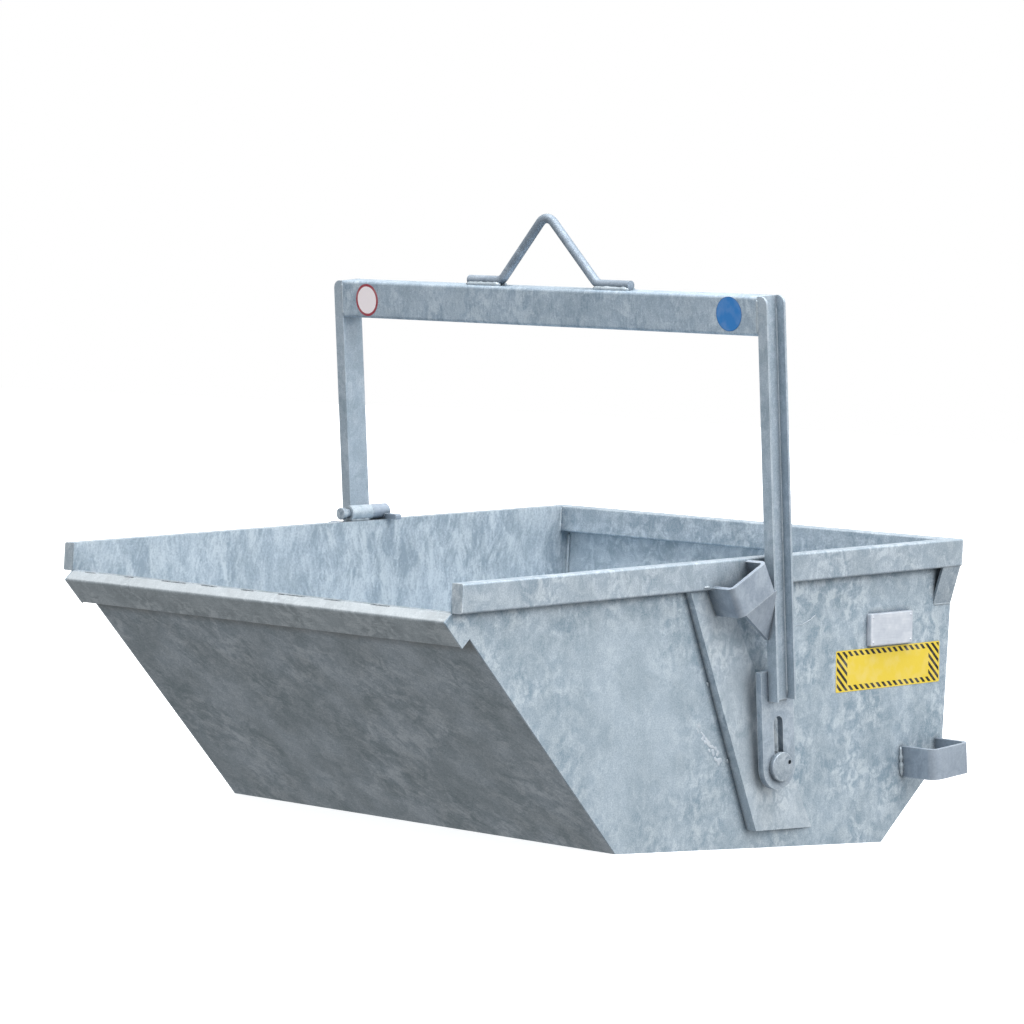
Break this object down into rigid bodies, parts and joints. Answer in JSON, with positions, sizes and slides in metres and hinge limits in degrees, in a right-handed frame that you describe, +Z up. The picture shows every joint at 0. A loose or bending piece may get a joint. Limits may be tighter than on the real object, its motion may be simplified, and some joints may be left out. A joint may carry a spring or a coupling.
{
  "type": "crane tipping hopper",
  "caption": "Crane tipping hopper of galvanised plate with a sloping pouring front, folded rim, slotted pivot plates, fold-back lifting yoke, bar stops and a flip-over latch.",
  "frame": {"origin": "middle of the floor's underside, where the hopper stands", "axes": "+X to the hopper's right, -Y towards the pouring edge, +Z up"},
  "size_m": [1.334, 1.4658, 1.2703],
  "materials": {
    "galvanised_plate": "hot-dip galvanised, mottled zinc spangle",
    "galvanised_fold": "hot-dip galvanised folded sheet",
    "galvanised_bar": "hot-dip galvanised flat and round bar",
    "galvanised_section": "hot-dip galvanised hollow section and channel",
    "turned_steel": "galvanised turned steel",
    "printed_film": "weathered self-adhesive film",
    "aluminium_plate": "bare brushed sheet"
  },
  "bodies": {
    "hopper": {"floor_plate": "galvanised_plate", "front_plate": "galvanised_plate", "rear_slope_plate": "galvanised_plate", "rear_plate": "galvanised_plate", "side_plate_left": "galvanised_plate", "side_plate_right": "galvanised_plate", "side_rim_left": "galvanised_fold", "side_rim_right": "galvanised_fold", "rim_cap_front_left": "galvanised_fold", "rim_cap_front_right": "galvanised_fold", "rim_cap_rear_left": "galvanised_fold", "rim_cap_rear_right": "galvanised_fold", "rear_rim": "galvanised_fold", "front_lip": "galvanised_fold", "corner_strip_left": "galvanised_fold", "corner_strip_right": "galvanised_fold", "side_stiffener_left": "galvanised_fold", "side_stiffener_right": "galvanised_fold", "stop_loop_left": "galvanised_bar", "stop_loop_right": "galvanised_bar", "stop_gusset_left": "galvanised_bar", "stop_gusset_right": "galvanised_bar", "rest_loop_left": "galvanised_bar", "rest_loop_right": "galvanised_bar", "pivot_boss_left": "galvanised_bar", "pivot_boss_right": "galvanised_bar", "pivot_pin_left": "turned_steel", "pivot_pin_right": "turned_steel", "retaining_disc_left": "turned_steel", "retaining_disc_right": "turned_steel", "latch_tube": "turned_steel"},
    "pivot_washers": {"thrust_washer_left": "turned_steel", "thrust_washer_right": "turned_steel"},
    "yoke": {"lifting_beam": "galvanised_section", "yoke_leg_left": "galvanised_section", "yoke_leg_right": "galvanised_section", "slot_plate_left": "galvanised_bar", "slot_plate_right": "galvanised_bar", "lifting_eye": "galvanised_bar"},
    "latch": {"latch_shaft": "turned_steel", "latch_head": "turned_steel", "latch_arm": "galvanised_bar"}
  },
  "joints": [
    {"name": "yoke_swing", "type": "hinge", "parent": "hopper", "child": "pivot_washers", "pos_m": [0, 0.02, 0.17], "axis": [-1, 0, 0], "range_deg": [0, 89.25]},
    {"name": "yoke_lift", "type": "slide", "parent": "pivot_washers", "child": "yoke", "axis": [0, -0.1262, 0.992], "range_m": [-0.09, 0]},
    {"name": "latch_flip", "type": "hinge", "parent": "hopper", "child": "latch", "pos_m": [-0.59, -0.00319, 0.61321], "axis": [0, -0.9973, -0.0732], "range_deg": [0, 180]}
  ]
}
